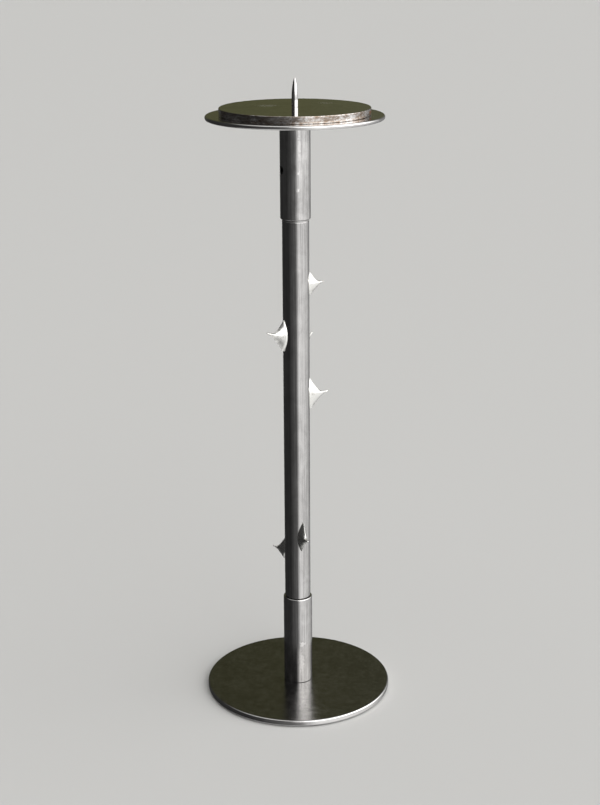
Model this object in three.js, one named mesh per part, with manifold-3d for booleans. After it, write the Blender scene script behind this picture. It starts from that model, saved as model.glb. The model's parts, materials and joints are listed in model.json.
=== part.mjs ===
// Pillar candle holder: a round base, a stem with rose thorns on it, and a drip pan and a
// candle plate held on top by a spike. Millimetres, +Z up, standing on z = 0 with the stem on
// the Z axis. The front of the holder faces -Y.

import * as THREE from 'three';
import { mergeVertices } from 'three/addons/utils/BufferGeometryUtils.js';
import Module from 'manifold-3d';

// --- driving dimensions -------------------------------------------------------------------

const GAP = 0.3; // clearance between two pieces that touch or slide

const BASE_RADIUS = 72.5;
const BASE_THICKNESS = 4;
const BASE_TOP_ROUND = 1.2;
const BASE_BOTTOM_ROUND = 0.5;

const PAD_RADIUS = 8;
const PAD_THICKNESS = 1;
const PAD_CIRCLE_RADIUS = 60;
const PAD_COUNT = 4;

const PAN_RADIUS = 65;
const PAN_THICKNESS = 3;
const PAN_ROUND = 1.2;

const PLATE_RADIUS = 55;
const PLATE_THICKNESS = 5;
const PLATE_ROUND = 0.5;
const PLATE_SEAT_RADIUS = 20; // the top's faces outside this lie clear of the spike

const STEM_RADIUS = 10;
const STEM_LENGTH = 300;
const BORE_RADIUS = 7.5; // bore of the stem and of both sleeves
const STEM_END_CHAMFER = 0.4;

const SLEEVE_RADIUS = 11.25;
const SLEEVE_LENGTH = 72;
const SLEEVE_ROUND = 0.9;
const SLEEVE_BORE_CHAMFER = 0.3;

const PLUG_LENGTH = 20;
const JOINER_DEPTH_IN_STEM = 28;
const JOINER_FLANGE_THICKNESS = 1.2;
const JOINER_CHAMFER = 1;

const BASE_SCREW_RADIUS = 3;
const BASE_SCREW_HEAD_RADIUS = 5.6;
const BASE_SCREW_LENGTH = 17;
const BASE_SCREW_SOCKET = 4; // across flats
const BASE_SCREW_SOCKET_DEPTH = 1.8;

const SPIKE_RADIUS = 2.3;
const SPIKE_HEIGHT = 21.2;
const SPIKE_TIP_RADIUS = 0.2;
const SPIKE_SHANK_RADIUS = 1.7;
const SPIKE_SHANK_IN_PLUG = 12;

const GRUB_HOLE_RADIUS = 2.9;
const GRUB_AZIMUTH = -65; // degrees round from the front, towards -X
const GRUB_RECESS = 0.35; // how far the screw's face lies under the sleeve's surface
const GRUB_SOCKET = 3; // across flats
const GRUB_SOCKET_DEPTH = 1.3;
const GRUB_TIP_RADIUS = 1.7;
const GRUB_TIP_LENGTH = 0.8;

const PEG_RADIUS = 1.5;
const PEG_IN_THORN = 1; // how far a peg reaches into its thorn

// Each thorn: height of its middle above the table, degrees round from the front (positive
// towards +X), length along the stem, width across it, how far its tip stands off the stem,
// how far the tip sits above the middle, and how far it leans over on the stem in degrees.
const THORNS = [
  { z: 330.2, azimuth: 100, length: 15.4, width: 5.4, height: 11.5, lift: 1.3, lean: 0 },
  { z: 291.4, azimuth: -63, length: 22.2, width: 5.6, height: 14.5, lift: 3.8, lean: 0 },
  { z: 282.2, azimuth: 149.5, length: 20, width: 5.6, height: 14, lift: 5.6, lean: 0 },
  { z: 243.8, azimuth: 107, length: 22.4, width: 5.6, height: 15.2, lift: 0.8, lean: 0 },
  { z: 115.8, azimuth: -114, length: 16.4, width: 5.4, height: 11.2, lift: 0.4, lean: 0 },
  { z: 131, azimuth: 21, length: 21.8, width: 5, height: 12.4, lift: 0.6, lean: -5 },
];

const OVERRUN = 2; // how far a cutter runs past what it cuts
const BLIND_END = 1; // space left past the end of a screw in a blind hole

const DISC_SEGMENTS = 64;
const ROUND_SEGMENTS = 40;
const SMALL_SEGMENTS = 20;
const THORN_SEGMENTS = 16;

// --- heights that follow from them --------------------------------------------------------

const BASE_Z = PAD_THICKNESS + GAP;
const LOWER_SLEEVE_Z = BASE_Z + BASE_THICKNESS + GAP;
const STEM_Z = LOWER_SLEEVE_Z + SLEEVE_LENGTH + GAP;
const STEM_TOP_Z = STEM_Z + STEM_LENGTH;
const FLANGE_Z = STEM_TOP_Z + GAP;
const UPPER_SLEEVE_Z = FLANGE_Z + JOINER_FLANGE_THICKNESS + GAP;
const PAN_Z = UPPER_SLEEVE_Z + SLEEVE_LENGTH + GAP;
const PLATE_Z = PAN_Z + PAN_THICKNESS + GAP;
const PLATE_TOP_Z = PLATE_Z + PLATE_THICKNESS;
const GRUB_Z = UPPER_SLEEVE_Z + SLEEVE_LENGTH / 2;
const FILL_RADIUS = BORE_RADIUS - GAP; // plugs and joiners, which fit in the bores

// --- materials ----------------------------------------------------------------------------

function metal(color, roughness) {
  return new THREE.MeshStandardMaterial({ color, roughness, metalness: 1 });
}

const brushedSteel = () => metal(0xa5a39c, 0.35);
const darkSteel = () => metal(0x6d6a60, 0.3);
const plainSteel = () => metal(0x8f8f8c, 0.45);
const silver = () => metal(0xe9e8e2, 0.16);
const blackSteel = () => metal(0x1c1c1d, 0.5);
const brass = () => metal(0xb08d4a, 0.35);
const felt = () => new THREE.MeshStandardMaterial({ color: 0x2b2a28, roughness: 0.95 });

// --- solids -------------------------------------------------------------------------------

const wasm = await Module();
wasm.setup();

function toSolid(geometry) {
  const bare = geometry.index ? geometry.toNonIndexed() : geometry.clone();
  bare.deleteAttribute('normal');
  bare.deleteAttribute('uv');
  const merged = mergeVertices(bare, 1e-4);
  const vertProperties = Float32Array.from(merged.attributes.position.array);
  const corners = merged.index.array;
  const kept = [];
  for (let i = 0; i < corners.length; i += 3) {
    const [a, b, c] = [corners[i], corners[i + 1], corners[i + 2]];
    if (a !== b && b !== c && c !== a) {
      kept.push(a, b, c);
    }
  }
  const triVerts = Uint32Array.from(kept);
  return new wasm.Manifold(new wasm.Mesh({ numProp: 3, vertProperties, triVerts }));
}

function toGeometry(solid) {
  const mesh = solid.getMesh();
  const geometry = new THREE.BufferGeometry();
  const position = new THREE.BufferAttribute(Float32Array.from(mesh.vertProperties), 3);
  geometry.setAttribute('position', position);
  geometry.setIndex(Array.from(mesh.triVerts));
  geometry.computeVertexNormals();
  return geometry;
}

function piece(name, geometry, material) {
  const mesh = new THREE.Mesh(geometry, material);
  mesh.name = name;
  return mesh;
}

// A body turned about the Z axis from a profile of [radius, z] points, listed upwards along
// the outside and back down along the inside or the axis.
function turned(profile, segments) {
  const points = profile.map(([radius, z]) => new THREE.Vector2(radius, z));
  const geometry = new THREE.LatheGeometry(points, segments);
  geometry.rotateX(Math.PI / 2);
  return geometry;
}

// The points of a quarter round of the given radius about a centre, from one angle in
// degrees to the next quarter.
function quarterRound(centreR, centreZ, round, startDegrees, steps = 3) {
  const points = [];
  for (let i = 0; i <= steps; i += 1) {
    const angle = THREE.MathUtils.degToRad(startDegrees + (90 * i) / steps);
    points.push([centreR + round * Math.cos(angle), centreZ + round * Math.sin(angle)]);
  }
  return points;
}

// A flat disc with rounded edges and a hole of any profile through its middle. The hole's
// points run downwards from the top face.
function discProfile(radius, z, thickness, topRound, bottomRound, hole) {
  const top = z + thickness;
  const lowerEdge = quarterRound(radius - bottomRound, z + bottomRound, bottomRound, -90, 2);
  const upperEdge = quarterRound(radius - topRound, top - topRound, topRound, 0);
  return [...lowerEdge, ...upperEdge, ...hole, lowerEdge[0]];
}

// A rod of a chosen radius along +Z, from z0 to z1.
function rod(radius, z0, z1, segments) {
  const geometry = new THREE.CylinderGeometry(radius, radius, z1 - z0, segments);
  geometry.rotateX(Math.PI / 2);
  geometry.translate(0, 0, (z0 + z1) / 2);
  return geometry;
}

// A six-sided rod, for the socket of a screw.
function hexRod(acrossFlats, z0, z1) {
  return rod(acrossFlats / Math.sqrt(3), z0, z1, 6);
}

// Turns a body built along +Z so that it points straight out from the stem at an azimuth
// round from the front, at height z. The body's own +Y ends up along +Z.
function pointOutward(geometry, azimuth, z) {
  geometry.rotateX(Math.PI / 2);
  geometry.rotateZ(THREE.MathUtils.degToRad(azimuth));
  geometry.translate(0, 0, z);
  return geometry;
}

// --- base ---------------------------------------------------------------------------------

function basePlate() {
  const top = BASE_Z + BASE_THICKNESS;
  const holeRadius = BASE_SCREW_RADIUS + GAP;
  const mouthRadius = BASE_SCREW_HEAD_RADIUS + 2 * GAP;
  const sinkTop = BASE_Z + mouthRadius - holeRadius;
  const hole = [
    [holeRadius, top],
    [holeRadius, sinkTop],
    [mouthRadius, BASE_Z],
  ];
  const profile = discProfile(
    BASE_RADIUS, BASE_Z, BASE_THICKNESS, BASE_TOP_ROUND, BASE_BOTTOM_ROUND, hole,
  );
  return piece('base_plate', turned(profile, DISC_SEGMENTS), darkSteel());
}

function feltPads() {
  const pads = new THREE.Group();
  for (let i = 0; i < PAD_COUNT; i += 1) {
    const angle = ((i + 0.5) / PAD_COUNT) * 2 * Math.PI;
    const pad = piece(`felt_pad_${i + 1}`, rod(PAD_RADIUS, 0, PAD_THICKNESS, SMALL_SEGMENTS), felt());
    pad.position.set(PAD_CIRCLE_RADIUS * Math.cos(angle), PAD_CIRCLE_RADIUS * Math.sin(angle), 0);
    pads.add(pad);
  }
  return pads;
}

function baseScrew() {
  const bottom = BASE_Z + GAP;
  const headHeight = BASE_SCREW_HEAD_RADIUS - BASE_SCREW_RADIUS;
  const profile = [
    [0, bottom],
    [BASE_SCREW_HEAD_RADIUS, bottom],
    [BASE_SCREW_RADIUS, bottom + headHeight],
    [BASE_SCREW_RADIUS, bottom + BASE_SCREW_LENGTH],
    [0, bottom + BASE_SCREW_LENGTH],
  ];
  const body = toSolid(turned(profile, SMALL_SEGMENTS));
  const socketTop = bottom + BASE_SCREW_SOCKET_DEPTH;
  const socket = toSolid(hexRod(BASE_SCREW_SOCKET, bottom - OVERRUN, socketTop));
  return piece('base_screw', toGeometry(body.subtract(socket)), plainSteel());
}

function lowerPlug() {
  const top = LOWER_SLEEVE_Z + PLUG_LENGTH;
  const holeRadius = BASE_SCREW_RADIUS + GAP;
  const holeTop = BASE_Z + GAP + BASE_SCREW_LENGTH + BLIND_END;
  const profile = [
    [holeRadius, LOWER_SLEEVE_Z],
    [FILL_RADIUS, LOWER_SLEEVE_Z],
    [FILL_RADIUS, top],
    [0, top],
    [0, holeTop],
    [holeRadius, holeTop],
    [holeRadius, LOWER_SLEEVE_Z],
  ];
  return piece('lower_plug', turned(profile, ROUND_SEGMENTS), plainSteel());
}

// --- sleeves, stem and joiners ------------------------------------------------------------

// A sleeve with a rounded outer edge at the end that meets the stem and a sharp one at the
// end that meets a disc.
function sleeveProfile(z, roundedEnd) {
  const top = z + SLEEVE_LENGTH;
  const flat = SLEEVE_RADIUS - SLEEVE_ROUND;
  const lower = roundedEnd === 'bottom'
    ? quarterRound(flat, z + SLEEVE_ROUND, SLEEVE_ROUND, -90)
    : [[SLEEVE_RADIUS, z]];
  const upper = roundedEnd === 'top'
    ? quarterRound(flat, top - SLEEVE_ROUND, SLEEVE_ROUND, 0)
    : [[SLEEVE_RADIUS, top]];
  const bore = [
    [BORE_RADIUS + SLEEVE_BORE_CHAMFER, top],
    [BORE_RADIUS, top - SLEEVE_BORE_CHAMFER],
    [BORE_RADIUS, z + SLEEVE_BORE_CHAMFER],
    [BORE_RADIUS + SLEEVE_BORE_CHAMFER, z],
  ];
  return [...lower, ...upper, ...bore, lower[0]];
}

function lowerSleeve() {
  const geometry = turned(sleeveProfile(LOWER_SLEEVE_Z, 'top'), ROUND_SEGMENTS);
  return piece('lower_sleeve', geometry, brushedSteel());
}

function upperSleeve() {
  const body = toSolid(turned(sleeveProfile(UPPER_SLEEVE_Z, 'bottom'), ROUND_SEGMENTS));
  const ends = [BORE_RADIUS - OVERRUN, SLEEVE_RADIUS + OVERRUN];
  const drill = rod(GRUB_HOLE_RADIUS, ...ends, SMALL_SEGMENTS);
  const hole = toSolid(pointOutward(drill, GRUB_AZIMUTH, GRUB_Z));
  return piece('upper_sleeve', toGeometry(body.subtract(hole)), brushedSteel());
}

function stemTube() {
  const profile = [
    [STEM_RADIUS - STEM_END_CHAMFER, STEM_Z],
    [STEM_RADIUS, STEM_Z + STEM_END_CHAMFER],
    [STEM_RADIUS, STEM_TOP_Z - STEM_END_CHAMFER],
    [STEM_RADIUS - STEM_END_CHAMFER, STEM_TOP_Z],
    [BORE_RADIUS, STEM_TOP_Z],
    [BORE_RADIUS, STEM_Z],
    [STEM_RADIUS - STEM_END_CHAMFER, STEM_Z],
  ];
  let tube = toSolid(turned(profile, ROUND_SEGMENTS));
  const ends = [BORE_RADIUS - OVERRUN, STEM_RADIUS + OVERRUN];
  for (const { azimuth, z } of THORNS) {
    const drill = rod(PEG_RADIUS + GAP, ...ends, SMALL_SEGMENTS);
    tube = tube.subtract(toSolid(pointOutward(drill, azimuth, z)));
  }
  return piece('stem_tube', toGeometry(tube), brushedSteel());
}

// The lower joiner stands on the lower plug and reaches up into the stem.
function lowerJoiner() {
  const bottom = LOWER_SLEEVE_Z + PLUG_LENGTH + GAP;
  const top = STEM_Z + JOINER_DEPTH_IN_STEM;
  const profile = [
    [0, bottom],
    [FILL_RADIUS - JOINER_CHAMFER, bottom],
    [FILL_RADIUS, bottom + JOINER_CHAMFER],
    [FILL_RADIUS, top - JOINER_CHAMFER],
    [FILL_RADIUS - JOINER_CHAMFER, top],
    [0, top],
  ];
  return piece('lower_joiner', turned(profile, ROUND_SEGMENTS), plainSteel());
}

// The upper joiner hangs in the stem by a flange as wide as the stem, and the upper sleeve
// slides down over it onto that flange.
function upperJoiner() {
  const bottom = STEM_TOP_Z - JOINER_DEPTH_IN_STEM;
  const flangeTop = FLANGE_Z + JOINER_FLANGE_THICKNESS;
  const top = UPPER_SLEEVE_Z + SLEEVE_LENGTH - PLUG_LENGTH - GAP;
  const profile = [
    [0, bottom],
    [FILL_RADIUS - JOINER_CHAMFER, bottom],
    [FILL_RADIUS, bottom + JOINER_CHAMFER],
    [FILL_RADIUS, FLANGE_Z],
    [STEM_RADIUS, FLANGE_Z],
    [STEM_RADIUS, flangeTop],
    [FILL_RADIUS, flangeTop],
    [FILL_RADIUS, top - JOINER_CHAMFER],
    [FILL_RADIUS - JOINER_CHAMFER, top],
    [0, top],
  ];
  return piece('upper_joiner', turned(profile, ROUND_SEGMENTS), plainSteel());
}

// --- head ---------------------------------------------------------------------------------

function upperPlug() {
  const top = UPPER_SLEEVE_Z + SLEEVE_LENGTH;
  const bottom = top - PLUG_LENGTH;
  const holeRadius = SPIKE_SHANK_RADIUS + GAP;
  const holeBottom = top - SPIKE_SHANK_IN_PLUG - BLIND_END;
  const profile = [
    [0, bottom],
    [FILL_RADIUS, bottom],
    [FILL_RADIUS, top],
    [holeRadius, top],
    [holeRadius, holeBottom],
    [0, holeBottom],
  ];
  return piece('upper_plug', turned(profile, ROUND_SEGMENTS), plainSteel());
}

// A disc of the head, with a plain hole that the spike's shank passes through.
function headDisc(radius, z, thickness, round, seatRadius) {
  const holeRadius = SPIKE_SHANK_RADIUS + GAP;
  const hole = [
    [seatRadius, z + thickness],
    [holeRadius, z + thickness],
    [holeRadius, z],
  ];
  return turned(discProfile(radius, z, thickness, round, round, hole), DISC_SEGMENTS);
}

function dripPan() {
  const geometry = headDisc(PAN_RADIUS, PAN_Z, PAN_THICKNESS, PAN_ROUND, PLATE_SEAT_RADIUS);
  return piece('drip_pan', geometry, darkSteel());
}

function candlePlate() {
  const sizes = [PLATE_RADIUS, PLATE_Z, PLATE_THICKNESS, PLATE_ROUND, PLATE_SEAT_RADIUS];
  const geometry = headDisc(...sizes);
  return piece('candle_plate', geometry, darkSteel());
}

// The spike's sides run nearly straight at its foot and curve in to the tip.
function spike() {
  const steps = 10;
  const foot = PLATE_TOP_Z + GAP;
  const shankBottom = UPPER_SLEEVE_Z + SLEEVE_LENGTH - SPIKE_SHANK_IN_PLUG;
  const profile = [
    [0, shankBottom],
    [SPIKE_SHANK_RADIUS, shankBottom],
    [SPIKE_SHANK_RADIUS, foot],
  ];
  for (let i = 0; i <= steps; i += 1) {
    const t = Math.sin(((i / steps) * Math.PI) / 2);
    const radius = SPIKE_RADIUS * (1 - t ** 3) ** 0.9 + SPIKE_TIP_RADIUS * t;
    profile.push([radius, foot + t * (SPIKE_HEIGHT - GAP)]);
  }
  profile.push([0, PLATE_TOP_Z + SPIKE_HEIGHT]);
  return piece('spike', turned(profile, SMALL_SEGMENTS), plainSteel());
}

// --- grub screw ---------------------------------------------------------------------------

const GRUB_TIP_INNER = FILL_RADIUS + GAP;
const GRUB_INNER = GRUB_TIP_INNER + GRUB_TIP_LENGTH + GAP;
const GRUB_OUTER = SLEEVE_RADIUS - GRUB_RECESS;

function grubScrew() {
  const body = toSolid(rod(GRUB_HOLE_RADIUS - GAP, GRUB_INNER, GRUB_OUTER, SMALL_SEGMENTS));
  const ends = [GRUB_OUTER - GRUB_SOCKET_DEPTH, GRUB_OUTER + OVERRUN];
  const socket = toSolid(hexRod(GRUB_SOCKET, ...ends));
  const geometry = pointOutward(toGeometry(body.subtract(socket)), GRUB_AZIMUTH, GRUB_Z);
  return piece('grub_screw', geometry, blackSteel());
}

function grubTip() {
  const outer = GRUB_TIP_INNER + GRUB_TIP_LENGTH;
  const disc = rod(GRUB_TIP_RADIUS, GRUB_TIP_INNER, outer, SMALL_SEGMENTS);
  return piece('grub_tip', pointOutward(disc, GRUB_AZIMUTH, GRUB_Z), brass());
}

// --- thorns -------------------------------------------------------------------------------

const THORN_RINGS = [0, 0.1, 0.2, 0.32, 0.45, 0.6, 0.78, 0.93]; // parts of a thorn's height
const THORN_TIP = 0.6; // half the thickness of a thorn's tip
const THORN_NECK = 0.5; // how much thicker that is near the foot
const THORN_FOOT = 0.1; // part of the height where the lower end stays blunt
const THORN_KNEE = 0.6; // part of the height where the upper flank turns into the neck
const THORN_ROOT = 3.5; // how deep a thorn's blank reaches before the stem is cut out of it

// How much of a thorn's half length or half width is left at s, a part of its height.
const upperFlank = (s) => Math.max(1 - s / THORN_KNEE, 0) ** 1.3;
const lowerFlank = (s) => Math.min((1 - s) / (1 - THORN_FOOT), 1) ** 1.8;
const sideFlank = (s) => (1 - s) ** 1.7;

// A thorn points along its local +Z and lies along its local Y. Its section is an almond,
// pointed towards the two ends of the stem, and it shrinks on hollow flanks to a slim tip.
function thornBlank({ length, width, height, lift }) {
  const rings = THORN_RINGS.map((s) => new THREE.Vector2(1, s));
  const root = [new THREE.Vector2(0, -1), new THREE.Vector2(1, -1)];
  const geometry = new THREE.LatheGeometry([...root, ...rings, new THREE.Vector2(0, 1)], THORN_SEGMENTS);
  const position = geometry.attributes.position;
  for (let i = 0; i < position.count; i += 1) {
    const across = position.getX(i);
    const along = -position.getZ(i);
    const s = Math.max(position.getY(i), 0);
    const flank = along > 0 ? upperFlank(s) : lowerFlank(s);
    const slim = THORN_TIP + THORN_NECK * (1 - s);
    const x = ((width / 2) * sideFlank(s) + slim) * across * Math.abs(across);
    const y = ((length / 2) * flank + slim) * along + lift * s;
    const z = position.getY(i) < 0 ? -THORN_ROOT : s * height;
    position.setXYZ(i, x, y, z);
  }
  return geometry;
}

// Each thorn is hollowed to sit on the stem and has a peg that goes through the stem's wall.
function thorn(name, shape) {
  const blank = thornBlank(shape);
  blank.rotateZ(THREE.MathUtils.degToRad(shape.lean));
  blank.translate(0, 0, STEM_RADIUS);
  const solid = toSolid(pointOutward(blank, 0, 0));
  const stem = toSolid(rod(STEM_RADIUS + GAP, -shape.length, shape.length, ROUND_SEGMENTS));
  const pegRod = rod(PEG_RADIUS, BORE_RADIUS + GAP, STEM_RADIUS + PEG_IN_THORN, SMALL_SEGMENTS);
  const peg = toSolid(pointOutward(pegRod, 0, 0));
  const mesh = piece(name, toGeometry(solid.subtract(stem).add(peg)), silver());
  mesh.rotation.z = THREE.MathUtils.degToRad(shape.azimuth);
  mesh.position.z = shape.z;
  return mesh;
}

// --- assembly -----------------------------------------------------------------------------

const base = new THREE.Group();
base.add(basePlate(), feltPads(), baseScrew(), lowerPlug(), lowerSleeve());

const stem = new THREE.Group();
stem.add(lowerJoiner(), stemTube(), upperJoiner());
THORNS.forEach((shape, index) => stem.add(thorn(`thorn_${index + 1}`, shape)));

const head = new THREE.Group();
head.add(upperSleeve(), upperPlug(), grubTip(), grubScrew(), dripPan(), candlePlate(), spike());

const holder = new THREE.Group();
holder.add(base, stem, head);

export default holder;
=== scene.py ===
"""How the pillar candle holder looks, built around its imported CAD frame. Metres, +Z up.

Every CAD node is replaced by a finely made piece that rides on the same body.
"""

import json
import math

import bpy
from mathutils import Matrix, Vector, noise


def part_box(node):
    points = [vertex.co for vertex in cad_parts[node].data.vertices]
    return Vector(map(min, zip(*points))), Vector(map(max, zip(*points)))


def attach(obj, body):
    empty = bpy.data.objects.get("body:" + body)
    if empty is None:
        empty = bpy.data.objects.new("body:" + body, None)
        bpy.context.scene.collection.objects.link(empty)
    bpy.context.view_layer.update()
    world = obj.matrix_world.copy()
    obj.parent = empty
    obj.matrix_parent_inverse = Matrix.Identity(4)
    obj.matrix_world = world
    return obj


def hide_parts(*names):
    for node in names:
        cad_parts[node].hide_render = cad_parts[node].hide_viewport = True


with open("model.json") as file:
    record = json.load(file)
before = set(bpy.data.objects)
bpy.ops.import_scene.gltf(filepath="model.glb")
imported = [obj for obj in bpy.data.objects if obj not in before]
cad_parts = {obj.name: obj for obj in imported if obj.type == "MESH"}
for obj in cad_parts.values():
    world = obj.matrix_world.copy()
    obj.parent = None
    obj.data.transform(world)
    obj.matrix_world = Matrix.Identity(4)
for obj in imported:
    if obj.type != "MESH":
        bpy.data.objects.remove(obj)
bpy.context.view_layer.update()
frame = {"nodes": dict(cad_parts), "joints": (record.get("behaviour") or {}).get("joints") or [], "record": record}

MM = 0.001
GAP = 0.3 * MM  # the clearance that CAD pieces keep from each other
SEAT = 0.02 * MM  # the clearance left between two finished pieces that touch
FINE = 192  # points round a large piece
SMALL = 96  # points round a small piece
SHARP = math.radians(32)  # edges sharper than this are shaded as edges

SCREW_CONE = 2.6 * MM  # how far the base screw's countersunk head reaches beyond its shank
SCREW_SOCKET = (4 * MM, 1.8 * MM)  # across its flats, and deep
GRUB_SOCKET = (3 * MM, 1.3 * MM)
GRUB_HOLE = 2.9 * MM  # radius
SPIKE_HOLE = 2 * MM  # radius of the hole through the plates for the spike's shank
SPIKE_SHANK = 1.7 * MM  # radius
SPIKE_TIP = 0.2 * MM
PITCH = 1 * MM  # of the base screw and the grub screw
SPIKE_PITCH = 0.7 * MM
CHAMFER = 0.15 * MM  # on the base screw's head and socket and the spike's foot
HOLE_END = 1 * MM  # how far a blind hole runs on past its screw
RIM = 4 * MM  # how far in from a disc's edge its flat faces are split
JOINER_TAPER = 1 * MM  # how far a joiner's ends are cut back, along it and across it
CUT_PAST = 2 * MM  # how far a bit runs past the wall that it drills

BROKEN = 0.1 * MM  # the round of an edge that is only broken
ENTRY = 0.2 * MM  # of the mouths of the stem and the plugs, and the flange's lower edge
TUBE_END = 0.35 * MM  # of the stem's top end and the flange on it
EASED = 0.4 * MM  # of a turned piece's corners
RIM_ROUND = 1.2 * MM  # of the base's top edge and both of the drip pan's
FLAT_ROUND = 0.5 * MM  # of the base's bottom edge and both of the candle plate's

BODY_OF = {
    node: body
    for body, nodes in frame["record"]["behaviour"]["bodies"].items()
    for node in nodes
}


# --- mesh tools ---------------------------------------------------------------------------


def circle(radius, z, steps):
    """A ring of points about the Z axis."""
    angles = [2 * math.pi * i / steps for i in range(steps)]
    return [Vector((radius * math.cos(a), radius * math.sin(a), z)) for a in angles]


def hexagon(flats, z, steps):
    """A ring of points on a hexagon that measures flats across its flats."""
    points = []
    for i in range(steps):
        angle = 2 * math.pi * i / steps
        radius = flats / 2 / math.cos(angle % (math.pi / 3) - math.pi / 6)
        points.append(Vector((radius * math.cos(angle), radius * math.sin(angle), z)))
    return points


def thread(radius, low, high, pitch, steps, rows=10):
    """Rings of a screw thread from z low to high, with half a turn run out at both ends."""
    depth = 0.5 * pitch
    rings = []
    for row in range(round((high - low) / pitch * rows) + 1):
        z = min(low + row * pitch / rows, high)
        shown = min(1, (z - low) / pitch * 2, (high - z) / pitch * 2)
        ring = []
        for i, point in enumerate(circle(1, z, steps)):
            turn = ((z - low) / pitch - i / steps) % 1
            ridge = min(1, abs(2 * turn - 1) * 1.15)
            at = radius - depth * shown * ridge
            ring.append(Vector((point.x * at, point.y * at, z)))
        rings.append(ring)
    return rings


def rounded(corners, steps=8):
    """The (radius, z) points of an outline through corners (radius, z, round). Each round
    has a short straight stretch at both its ends, which keeps the shading beyond it flat."""
    points = []
    for index, (radius, z, bend) in enumerate(corners):
        corner = Vector((radius, z))
        if bend == 0:
            points.append(corner)
            continue
        following = corners[(index + 1) % len(corners)]
        back = (Vector(corners[index - 1][:2]) - corner).normalized()
        ahead = (Vector(following[:2]) - corner).normalized()
        half = back.angle(ahead) / 2
        centre = corner + (back + ahead).normalized() * bend / math.sin(half)
        reach = bend / math.tan(half)
        start = (corner + back * reach - centre).normalized()
        end = (corner + ahead * reach - centre).normalized()
        points.append(corner + back * (reach + 0.2 * bend))
        points += [centre + start.slerp(end, i / steps) * bend for i in range(steps + 1)]
        points.append(corner + ahead * (reach + 0.2 * bend))
    return points


def loft(name, rings, closed=False):
    """A mesh that joins rings of points, each as long as the others or a single point."""
    points, faces, starts = [], [], []
    for ring in rings:
        starts.append(len(points))
        points += ring
    pairs = list(zip(range(len(rings)), range(1, len(rings))))
    if closed:
        pairs.append((len(rings) - 1, 0))
    for low, high in pairs:
        steps = max(len(rings[low]), len(rings[high]))
        for i in range(steps):
            j = (i + 1) % steps
            a, b = starts[low], starts[high]
            if len(rings[low]) == 1:
                faces.append((a, b + j, b + i))
            elif len(rings[high]) == 1:
                faces.append((a + i, a + j, b))
            else:
                faces.append((a + i, a + j, b + j, b + i))
    mesh = bpy.data.meshes.new(name)
    mesh.from_pydata([tuple(p) for p in points], [], faces)
    made = bpy.data.objects.new(name, mesh)
    bpy.context.scene.collection.objects.link(made)
    return made


def turned(name, outline, steps=FINE):
    """A body turned from (radius, z) points, which run upwards along the outside. They
    start and end on the axis, or the outline closes on itself round a bore."""
    rings = []
    for radius, z in outline:
        rings.append([Vector((0, 0, z))] if radius == 0 else circle(radius, z, steps))
    return loft(name, rings, closed=len(rings[0]) > 1)


def outward(azimuth, z):
    """Takes a body built along +Z to point out from the stem at an azimuth and a height."""
    return (
        Matrix.Translation((0, 0, z))
        @ Matrix.Rotation(azimuth, 4, "Z")
        @ Matrix.Rotation(math.pi / 2, 4, "X")
    )


def drill(target, *cutters):
    """Cuts the cutters out of the target, and removes them."""
    for cutter in cutters:
        modifier = target.modifiers.new("drill", "BOOLEAN")
        modifier.object = cutter
    bpy.context.view_layer.update()
    shown = target.evaluated_get(bpy.context.evaluated_depsgraph_get())
    mesh = bpy.data.meshes.new_from_object(shown)
    target.modifiers.clear()
    target.data = mesh
    for cutter in cutters:
        bpy.data.objects.remove(cutter)


# --- materials ----------------------------------------------------------------------------


def add_node(tree, kind, inputs, **settings):
    """Adds a node, with its settings, and sets or links its inputs."""
    made = tree.nodes.new(kind)
    for name, value in settings.items():
        setattr(made, name, value)
    for name, value in inputs.items():
        if isinstance(value, bpy.types.NodeSocket):
            tree.links.new(value, made.inputs[name])
        else:
            made.inputs[name].default_value = value
    return made


def surface(name, **fixed):
    """A new material, with the shader values that are the same all over it."""
    material = bpy.data.materials.new(name)
    material.use_nodes = True
    shader = material.node_tree.nodes["Principled BSDF"]
    for socket, value in fixed.items():
        shader.inputs[socket.replace("_", " ")].default_value = value
    return material, material.node_tree, shader


def place_on_piece(tree):
    """The point on the piece, in metres."""
    return add_node(tree, "ShaderNodeTexCoord", {}).outputs["Object"]


def place_round_axis(tree):
    """The point on a turned piece as (distance from the Z axis plus height, and the two
    parts of the level way out to it), so that tool lines run round the axis unbroken."""
    point = place_on_piece(tree)
    level = add_node(
        tree, "ShaderNodeVectorMath", {0: point, 1: (1, 1, 0)}, operation="MULTIPLY"
    ).outputs[0]
    radius = add_node(tree, "ShaderNodeVectorMath", {0: level}, operation="LENGTH").outputs[1]
    way = add_node(tree, "ShaderNodeVectorMath", {0: level}, operation="NORMALIZE").outputs[0]
    height = add_node(tree, "ShaderNodeSeparateXYZ", {"Vector": point}).outputs[2]
    x, y = add_node(tree, "ShaderNodeSeparateXYZ", {"Vector": way}).outputs[:2]
    along = add_node(tree, "ShaderNodeMath", {0: radius, 1: height}).outputs[0]
    return add_node(tree, "ShaderNodeCombineXYZ", {"X": along, "Y": x, "Z": y}).outputs[0]


def grain(tree, place, per_metre, detail=4.0, roughness=0.6, distortion=0.0):
    """Noise with its own number of grains to the metre along each axis, from 0 to 1."""
    stretched = add_node(
        tree, "ShaderNodeMapping", {"Vector": place, "Scale": per_metre}
    ).outputs[0]
    made = add_node(
        tree,
        "ShaderNodeTexNoise",
        {
            "Vector": stretched,
            "Scale": 1.0,
            "Detail": detail,
            "Roughness": roughness,
            "Distortion": distortion,
        },
    )
    return made.outputs["Fac"]


def spread(tree, value, from_low, from_high, to_low, to_high):
    """Maps one range of values smoothly onto another."""
    made = add_node(
        tree,
        "ShaderNodeMapRange",
        {"Value": value, 1: from_low, 2: from_high, 3: to_low, 4: to_high},
        interpolation_type="SMOOTHSTEP",
    )
    return made.outputs[0]


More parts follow.
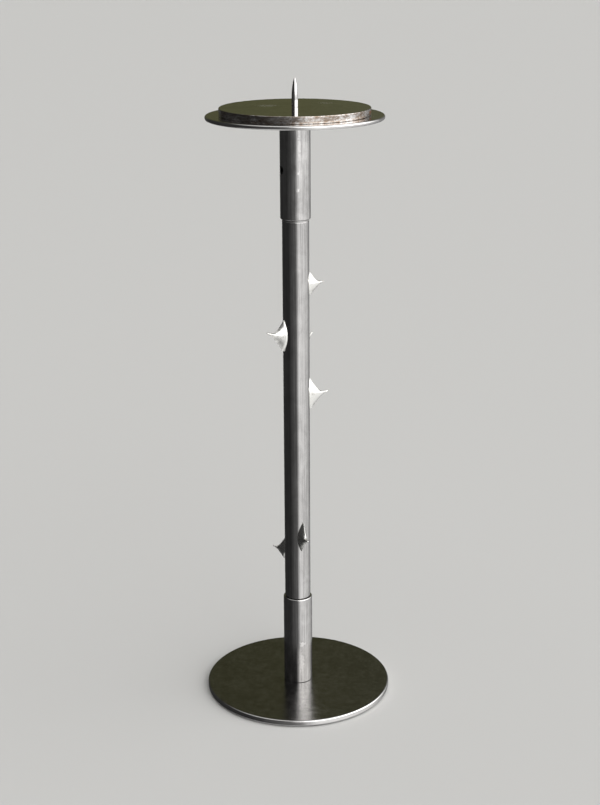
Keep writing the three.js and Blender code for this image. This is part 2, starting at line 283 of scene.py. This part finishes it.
def between(tree, share, first, second):
    """A colour between two colours."""
    made = add_node(
        tree, "ShaderNodeMix", {"Factor": share, 6: first, 7: second}, data_type="RGBA"
    )
    return made.outputs[2]


def ramp(tree, value, stops):
    """A colour from a list of (place from 0 to 1, red, green, blue)."""
    made = add_node(tree, "ShaderNodeValToRGB", {"Fac": value})
    elements = made.color_ramp.elements
    while len(elements) > len(stops):
        elements.remove(elements[-1])
    while len(elements) < len(stops):
        elements.new(0.5)
    for element, (place, *colour) in zip(elements, stops):
        element.position = place
        element.color = (*colour, 1)
    return made.outputs[0]


def link(tree, shader, **sockets):
    """Links values to the shader's sockets, whose names have _ for a space."""
    for name, value in sockets.items():
        tree.links.new(value, shader.inputs[name.replace("_", " ")])


def bumps(tree, height, distance, strength=1.0):
    """Normals for a height from 0 to 1 that stands for a distance in metres."""
    made = add_node(
        tree, "ShaderNodeBump", {"Height": height, "Distance": distance, "Strength": strength}
    )
    return made.outputs[0]


def patch(tree, centre, size, ragged=0.5):
    """A share that is 1 at a point on the piece and falls to 0 at a distance of size."""
    place = place_on_piece(tree)
    wobble = add_node(
        tree, "ShaderNodeTexNoise", {"Vector": place, "Scale": 2 / min(size), "Detail": 4.0}
    ).outputs["Fac"]
    away = add_node(
        tree, "ShaderNodeVectorMath", {0: place, 1: centre}, operation="SUBTRACT"
    ).outputs[0]
    scaled = add_node(
        tree, "ShaderNodeVectorMath", {0: away, 1: size}, operation="DIVIDE"
    ).outputs[0]
    far = add_node(tree, "ShaderNodeVectorMath", {0: scaled}, operation="LENGTH").outputs[1]
    edge = spread(tree, wobble, 0.3, 0.7, ragged, -ragged)
    reached = add_node(tree, "ShaderNodeMath", {0: far, 1: edge}).outputs[0]
    return spread(tree, reached, 0.4, 1.0, 1.0, 0.0)


def mean(tree, *values):
    """The mean of some values."""
    total = values[0]
    for value in values[1:]:
        total = add_node(tree, "ShaderNodeMath", {0: total, 1: value}).outputs[0]
    return add_node(
        tree, "ShaderNodeMath", {0: total, 1: 1 / len(values)}, operation="MULTIPLY"
    ).outputs[0]


def steel(name, dark, light, smooth, dull, lines, cut=0.004, patches=()):
    """Bare steel with the lines of the tool that finished it, and cloudy stains. dark and
    light are the colours it varies between, and smooth and dull its roughness. lines is the
    number of tool lines to the metre along X, Y and Z, or one number for a turned piece,
    and cut their depth in millimetres. patches are (centre, size, colour, roughness)."""
    material, tree, shader = surface(name, Metallic=1.0)
    if isinstance(lines, tuple):
        place, stretch = place_on_piece(tree), lines
    else:
        place, stretch = place_round_axis(tree), (lines, 1.2, 1.2)
    fine = grain(tree, place, stretch, detail=3.0)
    broad = grain(tree, place, [n / 4 for n in stretch], detail=4.0, roughness=0.7)
    cloud = grain(tree, place_on_piece(tree), (95, 95, 60), detail=6.0, distortion=0.6)
    shade = mean(tree, fine, broad, cloud)
    colour = between(tree, spread(tree, shade, 0.38, 0.62, 0.0, 1.0), dark, light)
    rough = spread(tree, mean(tree, broad, cloud), 0.36, 0.64, smooth, dull)
    for centre, size, paint, worn in patches:
        share = patch(tree, centre, size)
        colour = between(tree, share, colour, paint)
        rough = add_node(tree, "ShaderNodeMix", {"Factor": share, 2: rough, 3: worn}).outputs[0]
    link(
        tree,
        shader,
        Base_Color=colour,
        Roughness=rough,
        Normal=bumps(tree, fine, cut * MM),
    )
    return material


# --- camera, stage and light --------------------------------------------------------------

CAMERA_DISTANCE = 1.1109
CAMERA_HEIGHT = 0.5906
CAMERA_DOWN = 0.3077  # radians below level
CAMERA_TURN = 0.0023  # radians towards +X
CAMERA_ROLL = -0.0055
CAMERA_LENS = 68.36


def add_camera():
    data = bpy.data.cameras.new("camera")
    data.lens = CAMERA_LENS
    camera = bpy.data.objects.new("camera", data)
    camera.matrix_world = (
        Matrix.Translation((0, -CAMERA_DISTANCE, CAMERA_HEIGHT))
        @ Matrix.Rotation(-CAMERA_TURN, 4, "Z")
        @ Matrix.Rotation(math.pi / 2 - CAMERA_DOWN, 4, "X")
        @ Matrix.Rotation(CAMERA_ROLL, 4, "Z")
    )
    bpy.context.scene.collection.objects.link(camera)
    bpy.context.scene.camera = camera


FLOOR_RADIUS = 14
FLOOR_MIDDLE = 0.5  # radius of the floor's inner faces
FLOOR_DROP = 0.05 * MM  # how far below the felt the floor lies
BACKDROP_ROWS = 24
FLOOR_COLOUR = (0.57, 0.565, 0.55, 1)
BACKDROP_COLOUR = (0.575, 0.57, 0.555, 1)


def add_floor():
    """A plain pale floor, which can be seen through from below."""
    floor = turned("floor", [(0, 0), (FLOOR_MIDDLE, 0), (FLOOR_RADIUS, 0)])
    floor.data.flip_normals()
    floor.location.z = -FLOOR_DROP
    floor.visible_glossy = False
    material, tree, shader = surface("floor_paint", Roughness=0.9, Base_Color=FLOOR_COLOUR)
    clear = add_node(tree, "ShaderNodeBsdfTransparent", {})
    below = add_node(tree, "ShaderNodeNewGeometry", {}).outputs["Backfacing"]
    both = add_node(
        tree, "ShaderNodeMixShader", {0: below, 1: shader.outputs[0], 2: clear.outputs[0]}
    )
    tree.links.new(both.outputs[0], tree.nodes["Material Output"].inputs["Surface"])
    floor.data.materials.append(material)


def add_backdrop():
    """A plain pale ball round everything, which only the camera sees."""
    angles = [math.pi * i / BACKDROP_ROWS for i in range(1, BACKDROP_ROWS)]
    outline = [(FLOOR_RADIUS * math.sin(a), -FLOOR_RADIUS * math.cos(a)) for a in angles]
    ball = turned("backdrop", [(0, -FLOOR_RADIUS), *outline, (0, FLOOR_RADIUS)], SMALL)
    for name in ("diffuse", "glossy", "transmission", "volume_scatter", "shadow"):
        setattr(ball, f"visible_{name}", False)
    material, tree, shader = surface(
        "backdrop_paint", Base_Color=(0, 0, 0, 1), Emission_Color=BACKDROP_COLOUR
    )
    shader.inputs["Emission Strength"].default_value = 1
    ball.data.materials.append(material)


# A studio with one large soft window on the right, dark on the left and behind, and soft
# light from overhead and underneath. Each side is (degrees round from the camera's side,
# positive to the right, and brightness or colour).
BEHIND = (0.1, 0.1, 0.05)
SIDES_ABOVE = [
    (-180, BEHIND), (-140, 0.03), (-10, 0.05), (20, 3.0), (90, 3.0), (140, 0.2), (180, BEHIND),
]
SIDES_BELOW = [(-180, 0.1), (-140, 0.03), (-60, 0.03), (0, 0.15), (25, 1.0), (100, 0.8), (150, 0.25)]
OVERHEAD = (0.8, 0.8, 0.8, 1)
UNDERNEATH = (0.8, 0.8, 0.8, 1)

# The heights, in degrees up from the level, over which each light turns into the next.
FROM_UNDERNEATH = (-70, -40)
PAST_LEVEL = (-5, 5)
TO_OVERHEAD = (40, 70)

SUN_STRENGTH = 0.4
SUN_ACROSS = 60  # degrees


def add_light():
    """Soft light from all round, and soft sunlight from overhead for the floor."""
    world = bpy.data.worlds.new("studio")
    world.use_nodes = True
    bpy.context.scene.world = world
    tree = world.node_tree
    way = add_node(tree, "ShaderNodeTexCoord", {}).outputs["Generated"]
    x, y, z = add_node(tree, "ShaderNodeSeparateXYZ", {"Vector": way}).outputs
    front = add_node(tree, "ShaderNodeMath", {0: y, 1: -1.0}, operation="MULTIPLY").outputs[0]
    angle = add_node(tree, "ShaderNodeMath", {0: x, 1: front}, operation="ARCTAN2").outputs[0]
    round_us = add_node(
        tree, "ShaderNodeMapRange", {"Value": angle, 1: -math.pi, 2: math.pi, 3: 0.0, 4: 1.0}
    ).outputs[0]

    def sides(stops):
        colours = []
        for degrees, light in stops:
            colour = light if isinstance(light, tuple) else (light, light, light)
            colours.append(((degrees + 180) / 360, *colour))
        return ramp(tree, round_us, colours)

    def height(turn):
        """0 below the lower of two heights and 1 above the upper."""
        low, high = (math.sin(math.radians(degrees)) for degrees in turn)
        return spread(tree, z, low, high, 0.0, 1.0)

    whole = between(tree, height(FROM_UNDERNEATH), UNDERNEATH, sides(SIDES_BELOW))
    whole = between(tree, height(PAST_LEVEL), whole, sides(SIDES_ABOVE))
    whole = between(tree, height(TO_OVERHEAD), whole, OVERHEAD)
    tree.links.new(whole, tree.nodes["Background"].inputs["Color"])

    data = bpy.data.lights.new("sun", "SUN")
    data.energy = SUN_STRENGTH
    data.angle = math.radians(SUN_ACROSS)
    sun = bpy.data.objects.new("sun", data)
    sun.visible_glossy = False
    bpy.context.scene.collection.objects.link(sun)


# --- pieces -------------------------------------------------------------------------------


def finish(piece, node, slot, *materials):
    """Gives a piece its finish, and lets it stand for its CAD node and ride where that does."""
    for material in materials:
        piece.data.materials.append(material)
    piece.data.polygons.foreach_set("use_smooth", [True] * len(piece.data.polygons))
    piece.data.set_sharp_from_angle(angle=SHARP)
    piece.name = node + "_fine"
    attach(piece, BODY_OF[node])
    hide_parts(node)


def finish_edge(piece):
    """Gives a disc's rim, where it isn't flat, the second of its materials."""
    for face in piece.data.polygons:
        face.material_index = 1 if abs(face.normal.z) < 0.9 else 0


def heights(node):
    """How high a CAD node's lowest and highest points are."""
    low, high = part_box(node)
    return low.z, high.z


def radius_of(node):
    """The radius of a CAD node that is turned about the Z axis."""
    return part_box(node)[1].x


BORE = radius_of("lower_joiner") + GAP  # of the stem and both sleeves
STEM_RADIUS = radius_of("stem_tube")


def disc(name, radius, low, high, top_round, bottom_round, hole):
    """A flat disc with rounded edges. The hole's corners run down from the top face."""
    corners = [
        (radius - RIM, low, 0),
        (radius, low, bottom_round),
        (radius, high, top_round),
        (radius - RIM, high, 0),
        (radius / 2, high, 0),
        *hole,
        (radius / 2, low, 0),
    ]
    return turned(name, rounded(corners), 2 * FINE)


def make_base(steels):
    low, high = heights("base_plate")
    screw_low, screw_high = heights("base_screw")
    head = radius_of("base_screw")
    shank = head - SCREW_CONE
    mouth = head + 2 * GAP
    hole = [
        (shank + GAP, high, BROKEN),
        (shank + GAP, low + mouth - shank - GAP, 0),
        (mouth, low, BROKEN),
    ]
    plate = disc("base", radius_of("base_plate"), low, high, RIM_ROUND, FLAT_ROUND, hole)
    # Its rounded rim gets the lighter edge steel, a painted highlight.
    finish(plate, "base_plate", "dark_steel", steels["base"], steels["edge"])
    finish_edge(plate)

    socket, depth = SCREW_SOCKET
    deep = screw_low + depth
    neck = screw_low + head - shank
    rings = [
        [Vector((0, 0, deep + 0.8 * MM))],
        hexagon(socket, deep, SMALL),
        hexagon(socket, screw_low + CHAMFER, SMALL),
        hexagon(socket + 2 * CHAMFER, screw_low, SMALL),
        circle(head - CHAMFER, screw_low, SMALL),
        circle(head, screw_low + 0.12 * MM, SMALL),
        circle(shank, neck + 0.12 * MM, SMALL),
        *thread(shank, neck + PITCH / 2, screw_high - PITCH / 2, PITCH, SMALL),
        circle(shank - PITCH / 2, screw_high, SMALL),
        [Vector((0, 0, screw_high))],
    ]
    finish(loft("screw", rings), "base_screw", "plain_steel", steels["screw"])


NAP = (0.9 * MM, 0.09 * MM)  # how wide and how deep the felt's unevenness is
PAD_RINGS = 12  # from the middle of a pad's faces to their edge


def make_pads(felt):
    """Felt pads, with soft edges and a slightly uneven nap."""
    wide, deep = NAP
    for node in sorted(n for n in BODY_OF if n.startswith("felt_pad")):
        low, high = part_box(node)
        middle = (low + high) / 2
        radius = (high.x - low.x) / 2
        corners = [(0, low.z, 0), (radius, low.z, 0.25 * MM), (radius, high.z, 0.4 * MM)]
        outline = rounded([*corners, (0, high.z, 0)])
        across = [radius * i / PAD_RINGS for i in range(1, PAD_RINGS)]
        bottom = [(x, low.z) for x in across]
        top = [(x, high.z) for x in reversed(across)]
        outline = [outline[0], *bottom, *outline[1:-1], *top, outline[-1]]
        pad = turned("pad", outline, SMALL)
        for vertex in pad.data.vertices:
            vertex.co += Vector((middle.x, middle.y, 0))
            nap = 0.5 + 0.5 * noise.noise(vertex.co / wide)
            inward = (middle - vertex.co).normalized()
            vertex.co += inward * nap * deep
        finish(pad, node, "felt", felt)


def make_plugs(steels):
    low, high = heights("lower_plug")
    fill = radius_of("lower_plug")
    screw_hole = radius_of("base_screw") - SCREW_CONE + GAP
    end = heights("base_screw")[1] + HOLE_END
    corners = [
        (0, end, 0),
        (screw_hole, end, 0),
        (screw_hole, low, ENTRY),
        (fill, low, EASED),
        (fill, high, EASED),
        (0, high, 0),
    ]
    finish(turned("plug", rounded(corners)), "lower_plug", "plain_steel", steels["turned"])

    low, high = heights("upper_plug")
    end = heights("spike")[0] - HOLE_END
    drill_point = 0.9 * MM
    corners = [
        (0, low, 0),
        (fill, low, EASED),
        (fill, high, EASED),
        (SPIKE_HOLE, high, ENTRY),
        (SPIKE_HOLE, end, 0),
        (0, end - drill_point, 0),
    ]
    finish(turned("plug", rounded(corners)), "upper_plug", "plain_steel", steels["turned"])


def make_joiners(steels):
    fill = radius_of("lower_joiner")
    end_radius = fill - JOINER_TAPER
    end_round = 0.25 * MM
    low, high = heights("lower_joiner")
    corners = [
        (0, low, 0),
        (end_radius, low, end_round),
        (fill, low + JOINER_TAPER, EASED),
        (fill, high - JOINER_TAPER, EASED),
        (end_radius, high, end_round),
        (0, high, 0),
    ]
    finish(turned("joiner", rounded(corners)), "lower_joiner", "plain_steel", steels["turned"])

    low, high = heights("upper_joiner")
    flange = heights("stem_tube")[1] + SEAT
    flange_top = heights("upper_sleeve")[0] - 2 * GAP
    corners = [
        (0, low, 0),
        (end_radius, low, end_round),
        (fill, low + JOINER_TAPER, EASED),
        (fill, flange, BROKEN),
        (STEM_RADIUS, flange, ENTRY),
        (STEM_RADIUS, flange_top, TUBE_END),
        (fill, flange_top, BROKEN),
        (fill, high - JOINER_TAPER, EASED),
        (end_radius, high, end_round),
        (0, high, 0),
    ]
    finish(turned("joiner", rounded(corners)), "upper_joiner", "plain_steel", steels["turned"])


def sleeve(name, low, high, low_round, high_round):
    """A sleeve from low to high, with the rounds of its outer edges."""
    radius = radius_of("lower_sleeve")
    corners = [
        (radius, low, low_round),
        (radius, high, high_round),
        (BORE, high, 0.3 * MM),
        (BORE, low, 0.3 * MM),
    ]
    return turned(name, rounded(corners))


def grub_place():
    """The way out along the grub screw's axis, and how far round from the front it points."""
    travel = next(j for j in frame["joints"] if j["name"] == "grub_travel")
    way = Vector(travel["axis"])
    return way, math.atan2(way.x, -way.y)


def reach(node, way):
    """How far a CAD node reaches along a way out from the Z axis, at least and at most."""
    along = [way.dot(v.co) for v in frame["nodes"][node].data.vertices]
    return min(along), max(along)


def make_sleeves(steels):
    low, high = heights("lower_sleeve")
    lower = sleeve("sleeve", low, high, BROKEN, 0.8 * MM)
    finish(lower, "lower_sleeve", "brushed_steel", steels["lower_sleeve"])

    low, high = heights("upper_sleeve")
    upper = sleeve("sleeve", low, high + GAP - SEAT, EASED, BROKEN)
    way, azimuth = grub_place()
    radius = radius_of("lower_sleeve")
    corners = [
        (0, BORE - CUT_PAST, 0),
        (GRUB_HOLE, BORE - CUT_PAST, 0),
        (GRUB_HOLE, radius - 0.6 * MM, 0),
        (GRUB_HOLE + 0.15 * MM, radius, 0),
        (GRUB_HOLE + CUT_PAST, radius + CUT_PAST, 0),
        (0, radius + CUT_PAST, 0),
    ]
    bit = turned("bit", rounded(corners), SMALL)
    bit.data.transform(outward(azimuth, sum(heights("grub_screw")) / 2))
    drill(upper, bit)
    finish(upper, "upper_sleeve", "brushed_steel", steels["upper_sleeve"])


def make_grub_screw(black, brass):
    way, azimuth = grub_place()
    z = sum(heights("grub_screw")) / 2
    low, high = reach("grub_screw", way)
    radius = (heights("grub_screw")[1] - heights("grub_screw")[0]) / 2
    socket, depth = GRUB_SOCKET
    deep = high - depth
    rings = [
        [Vector((0, 0, low))],
        circle(radius - 0.5 * MM, low, SMALL),
        *thread(radius, low + 0.4 * MM, high - 0.35 * MM, PITCH, SMALL),
        circle(radius - 0.35 * MM, high, SMALL),
        hexagon(socket + 0.2 * MM, high, SMALL),
        hexagon(socket, high - 0.1 * MM, SMALL),
        hexagon(socket, deep, SMALL),
        [Vector((0, 0, deep - 0.4 * MM))],
    ]
    screw = loft("grub", rings)
    screw.data.transform(outward(azimuth, z))
    finish(screw, "grub_screw", "black_steel", black)

    low, high = reach("grub_tip", way)
    low_z, high_z = heights("grub_tip")
    radius = (high_z - low_z) / 2
    corners = [(0, low, 0), (radius, low, 0.15 * MM), (radius, high, 0.15 * MM), (0, high, 0)]
    tip = turned("tip", rounded(corners), SMALL)
    tip.data.transform(outward(azimuth, z))
    finish(tip, "grub_tip", "brass_tip", brass)


# --- stem and thorns ----------------------------------------------------------------------

THORN_POINTS = 96  # points round a thorn
THORN_RINGS = 36
THORN_TIP = 0.6 * MM  # half the thickness of a thorn's tip
THORN_NECK = 0.5 * MM  # how much thicker that is near the foot
THORN_WALL = 0.7 * MM  # how high the upright edge of a thorn's foot stands
LUMPS = (2.6 * MM, 0.09 * MM)  # how wide and how deep the unevenness of its casting is
LUMPS_APART = 40.5  # between the noise for one direction and the next, in its own cells
PEG_RADIUS = 1.5 * MM


def thorn_nodes():
    return sorted(n for n in BODY_OF if n.startswith("thorn"))


def thorn_shape(node):
    """A thorn's axes and sizes, from its CAD node: out from the stem, along it and across
    it, the height of its middle, and its length, width, height and lift."""
    points = [v.co.copy() for v in frame["nodes"][node].data.vertices]

    def radius(point):
        return math.hypot(point.x, point.y)

    inner = min(radius(p) for p in points)
    peg = [p for p in points if radius(p) < inner + 0.2 * MM]
    middle = sum(peg, Vector()) / len(peg)
    out = Vector((middle.x, middle.y, 0)).normalized()
    along = max(points, key=lambda p: p.z) - min(points, key=lambda p: p.z)
    along = (along - along.dot(out) * out).normalized()
    across = along.cross(out)
    tip = max(points, key=radius)
    blunt = 2 * (THORN_TIP + THORN_NECK)
    ends = [(p - middle).dot(along) for p in points]
    sides = [(p - middle).dot(across) for p in points]
    return {
        "out": out,
        "along": along,
        "across": across,
        "z": middle.z,
        "length": max(ends) - min(ends) - blunt,
        "width": max(sides) - min(sides) - blunt,
        "height": tip.dot(out) - STEM_RADIUS,
        "lift": (tip - middle).dot(along),
        "end": inner,
    }


def thorn_ring(shape, s):
    """The (across, along) points of a thorn's section at s, from 0 at its foot to 1. The
    powers hollow its flanks, and its upper flank draws in sooner than its lower one."""
    slim = THORN_TIP + THORN_NECK * (1 - s)
    side = (1 - s) ** 1.7
    upper = max(1 - s / 0.6, 0) ** 1.3
    lower = min((1 - s) / 0.9, 1) ** 1.8
    cap_start = 1 - THORN_TIP / shape["height"]
    cap = math.sqrt(max(1 - ((max(s, cap_start) - cap_start) / (1 - cap_start)) ** 2, 0))
    ring = []
    for i in range(THORN_POINTS):
        angle = 2 * math.pi * i / THORN_POINTS
        across, along = math.cos(angle), math.sin(angle)
        flank = upper if along > 0 else lower
        x = (shape["width"] / 2 * side + slim) * across * abs(across)
        y = (shape["length"] / 2 * flank + slim) * along
        ring.append((x * cap, y * cap + shape["lift"] * s))
    return ring


def lumps(point):
    """A push in three directions from noise at a point. It is the same each run, which
    that of noise.noise_vector isn't."""
    return Vector([noise.noise(point + Vector((0, 0, LUMPS_APART * axis))) for axis in range(3)])


def make_thorn(node, silver):
    """A thorn from its tip down to its foot on the stem, and in along its peg."""
    shape = thorn_shape(node)
    surface_radius = STEM_RADIUS + SEAT

    def round_stem(x, extra=0.0):
        """How far out the stem's round surface lies at x across the thorn."""
        return math.sqrt(surface_radius**2 - x**2) + extra

    rings = [[(0.0, shape["lift"], STEM_RADIUS + shape["height"])]]
    for row in range(THORN_RINGS - 1, -1, -1):
        s = math.sin(math.pi / 2 * row / THORN_RINGS)
        ring = []
        for x, y in thorn_ring(shape, s):
            wall = round_stem(x, THORN_WALL) * (1 - s) + (STEM_RADIUS + THORN_WALL) * s
            ring.append((x, y, wall + s * (shape["height"] - THORN_WALL)))
        rings.append(ring)
    foot = thorn_ring(shape, 0)
    rings.append([(x, y, round_stem(x)) for x, y in foot])
    for share in (0.75, 0.5, 0.25, 0.0):
        ring = []
        for i, (x, y) in enumerate(foot):
            angle = 2 * math.pi * i / THORN_POINTS
            peg = PEG_RADIUS * Vector((math.cos(angle), math.sin(angle)))
            x, y = peg.lerp(Vector((x, y)), share)
            ring.append((x, y, round_stem(x)))
        rings.append(ring)
    angles = [2 * math.pi * i / THORN_POINTS for i in range(THORN_POINTS)]
    peg = [(PEG_RADIUS * math.cos(a), PEG_RADIUS * math.sin(a), shape["end"]) for a in angles]
    rings += [peg, [(0.0, 0.0, shape["end"])]]

    def placed(x, y, out):
        point = shape["across"] * x + shape["along"] * y + shape["out"] * out
        wide, deep = LUMPS
        uneven = lumps(point / wide + Vector((0, 0, shape["z"]))) * deep
        fade = min(max((out - STEM_RADIUS - THORN_WALL) / (2 * MM), 0), 1)
        return point + Vector((0, 0, shape["z"])) + uneven * fade

    thorn = loft("thorn", [[placed(*p) for p in ring] for ring in rings])
    thorn.data.flip_normals()
    finish(thorn, node, "polished_silver", silver)


def make_stem(steels):
    low, high = heights("stem_tube")
    corners = [
        (STEM_RADIUS, low + GAP, 0.3 * MM),
        (STEM_RADIUS, high, TUBE_END),
        (BORE, high, ENTRY),
        (BORE, low + GAP, ENTRY),
    ]
    tube = turned("tube", rounded(corners))
    bits = []
    for node in thorn_nodes():
        shape = thorn_shape(node)
        radius = PEG_RADIUS + SEAT
        inner, outer = BORE - CUT_PAST, STEM_RADIUS + CUT_PAST
        outline = [(0, inner), (radius, inner), (radius, outer), (0, outer)]
        bit = turned("bit", outline, SMALL)
        azimuth = math.atan2(shape["out"].x, -shape["out"].y)
        bit.data.transform(outward(azimuth, shape["z"]))
        bits.append(bit)
    drill(tube, *bits)
    finish(tube, "stem_tube", "brushed_steel", steels["stem"])


# --- head ---------------------------------------------------------------------------------


def make_head(steels):
    low, high = heights("drip_pan")
    hole = [(SPIKE_HOLE, high, BROKEN), (SPIKE_HOLE, low, BROKEN)]
    pan = disc("pan", radius_of("drip_pan"), low, high, RIM_ROUND, RIM_ROUND, hole)
    # Its rounded rims get the lighter edge steel, a painted highlight.
    finish(pan, "drip_pan", "dark_steel", steels["pan"], steels["edge"])
    finish_edge(pan)

    pan_top = high
    low, high = heights("candle_plate")
    low = pan_top + SEAT
    hole = [(SPIKE_HOLE, high, BROKEN), (SPIKE_HOLE, low, BROKEN)]
    plate = disc("plate", radius_of("candle_plate"), low, high, FLAT_ROUND, FLAT_ROUND, hole)
    finish(plate, "candle_plate", "dark_steel", steels["plate"], steels["plate_edge"])
    finish_edge(plate)

    foot = high + SEAT
    low, high = heights("spike")
    radius = radius_of("spike")
    rings = [
        [Vector((0, 0, low))],
        circle(SPIKE_SHANK - 0.4 * MM, low, SMALL),
        *thread(SPIKE_SHANK, low + 0.4 * MM, heights("upper_plug")[1], SPIKE_PITCH, SMALL),
        circle(SPIKE_SHANK, foot, SMALL),
        circle(radius - CHAMFER, foot, SMALL),
    ]
    steps = 40
    for i in range(steps + 1):
        t = math.sin(math.pi / 2 * i / steps)
        at = radius * (1 - t**3) ** 0.9 + SPIKE_TIP * t
        rings.append(circle(at, foot + CHAMFER + t * (high - foot - 2 * CHAMFER), SMALL))
    rings.append([Vector((0, 0, high))])
    finish(loft("spike", rings), "spike", "turned_steel", steels["spike"])


# --- the holder ---------------------------------------------------------------------------


def on_stem(azimuth, height, radius):
    """A point on the stem, at an azimuth in degrees round from the front."""
    turn = math.radians(azimuth)
    return Vector((radius * math.sin(turn), -radius * math.cos(turn), height))


def grey(level, warm=0.02):
    """A steel's colour: grey, and a little less blue than red."""
    return (level, level * (1 - warm), level * (1 - 2 * warm), 1)


def steel_finishes():
    along = (2200, 2200, 26)  # lines brushed along the stem
    sleeve_radius = radius_of("lower_sleeve")
    upper_low, upper_high = heights("upper_sleeve")
    middle = (upper_low + upper_high) / 2
    # Pale smears on the upper sleeve, set in its highlight: partly polish marks, partly painted highlights that
    # stand in for glints.
    smears_and_glints = [
        (on_stem(12, middle - 1.5 * MM, sleeve_radius), (1.3 * MM,) * 3, grey(0.9), 0.2),
        (on_stem(9, middle - 14 * MM, sleeve_radius), (1.5 * MM,) * 3, grey(0.85), 0.2),
        (
            on_stem(14, middle + 17 * MM, sleeve_radius), (1.6 * MM, 1.6 * MM, 9 * MM),
            grey(0.75), 0.2,
        ),
    ]
    # Pale swirls low on the lower sleeve, in its highlight: partly polish marks, partly painted highlights.
    low_smears_and_glints = [
        (on_stem(20, 39 * MM, sleeve_radius), (3.2 * MM, 3.2 * MM, 2.4 * MM), grey(0.8), 0.25),
        (on_stem(13, 23 * MM, sleeve_radius), (2.4 * MM, 2.4 * MM, 9 * MM), grey(0.78), 0.25),
    ]
    rust = (0.3, 0.13, 0.05, 1)
    plate_radius = radius_of("candle_plate")
    plate_middle = sum(heights("candle_plate")) / 2
    rusty = [
        (on_stem(turn, plate_middle, plate_radius), (size * MM, size * MM, 2 * MM), rust, 0.4)
        for turn, size in ((78, 7), (150, 5), (-130, 6))
    ]
    plate_top = heights("candle_plate")[1]
    scuffs = [
        (Vector((-20 * MM, 9 * MM, plate_top)), (9 * MM, 7 * MM, 2 * MM), grey(0.7), 0.3),
        (Vector((22 * MM, 24 * MM, plate_top)), (7 * MM, 5 * MM, 2 * MM), grey(0.66), 0.28),
    ]
    every_way = (900, 900, 900)
    return {
        "stem": steel("stem_steel", grey(0.46), grey(0.7), 0.08, 0.16, along, 0.003),
        "upper_sleeve": steel(
            "upper_sleeve_steel", grey(0.46), grey(0.78), 0.1, 0.2, along, patches=smears_and_glints
        ),
        "lower_sleeve": steel(
            "lower_sleeve_steel", grey(0.46), grey(0.7), 0.12, 0.22, along, patches=low_smears_and_glints
        ),
        "base": steel("base_steel", grey(0.22), grey(0.32), 0.18, 0.25, every_way, 0.003),
        # The rounded rims of the base and the drip pan get a far lighter steel than their faces: a painted
        # highlight along the rim.
        "edge": steel("edge_steel", grey(0.6), grey(0.8), 0.12, 0.2, 900.0),
        "pan": steel("pan_steel", grey(0.38), grey(0.6), 0.12, 0.2, every_way, 0.003),
        "plate": steel(
            "plate_steel", grey(0.38), grey(0.63), 0.06, 0.13, every_way, 0.002, patches=scuffs
        ),
        "plate_edge": steel(
            "plate_edge_steel", (0.3, 0.22, 0.16, 1), grey(0.8), 0.12, 0.26, (350, 350, 900),
            0.012, patches=rusty,
        ),
        "spike": steel("spike_steel", grey(0.6), grey(0.8), 0.06, 0.12, 3000.0, 0.002),
        "turned": steel("turned_steel", grey(0.45), grey(0.62), 0.25, 0.4, 3500.0, 0.01),
        "screw": steel("screw_steel", grey(0.42), grey(0.58), 0.3, 0.45, 1500.0),
    }


def silver_finish():
    """Cast silver, filed and polished, with cloudy patches of grey tarnish."""
    material, tree, shader = surface("silver", Metallic=1.0)
    place = place_on_piece(tree)
    file_marks = grain(tree, place, (900, 900, 300), detail=3.0)
    tarnish = grain(tree, place, (260, 260, 260), detail=5.0, distortion=0.8)
    colour = between(
        tree, spread(tree, tarnish, 0.3, 0.5, 0.0, 1.0), (0.6, 0.58, 0.54, 1), (0.95, 0.94, 0.9, 1)
    )
    link(
        tree,
        shader,
        Base_Color=colour,
        Roughness=spread(tree, tarnish, 0.3, 0.7, 0.34, 0.2),
        Normal=bumps(tree, file_marks, 0.02 * MM),
    )
    return material


def felt_finish():
    material, tree, shader = surface("felt", Roughness=0.95, Sheen_Weight=0.4)
    place = place_on_piece(tree)
    fibres = grain(tree, place, (2600, 2600, 2600), detail=6.0, roughness=0.75, distortion=1.5)
    colour = between(
        tree,
        spread(tree, fibres, 0.3, 0.7, 0.0, 1.0),
        (0.02, 0.019, 0.017, 1),
        (0.1, 0.095, 0.09, 1),
    )
    link(tree, shader, Base_Color=colour, Normal=bumps(tree, fibres, 0.25 * MM))
    return material


def make_holder():
    steels = steel_finishes()
    black = steel("black_oxide", grey(0.02), grey(0.06), 0.35, 0.55, (1500, 1500, 1500))
    brass = steel(
        "brass", (0.55, 0.38, 0.13, 1), (0.78, 0.6, 0.28, 1), 0.25, 0.4, (1500, 1500, 1500)
    )
    silver = silver_finish()
    make_base(steels)
    make_pads(felt_finish())
    make_plugs(steels)
    make_joiners(steels)
    make_sleeves(steels)
    make_grub_screw(black, brass)
    make_stem(steels)
    for node in thorn_nodes():
        make_thorn(node, silver)
    make_head(steels)


bpy.context.scene.view_settings.view_transform = "Standard"
add_camera()
add_floor()
add_backdrop()
add_light()
make_holder()
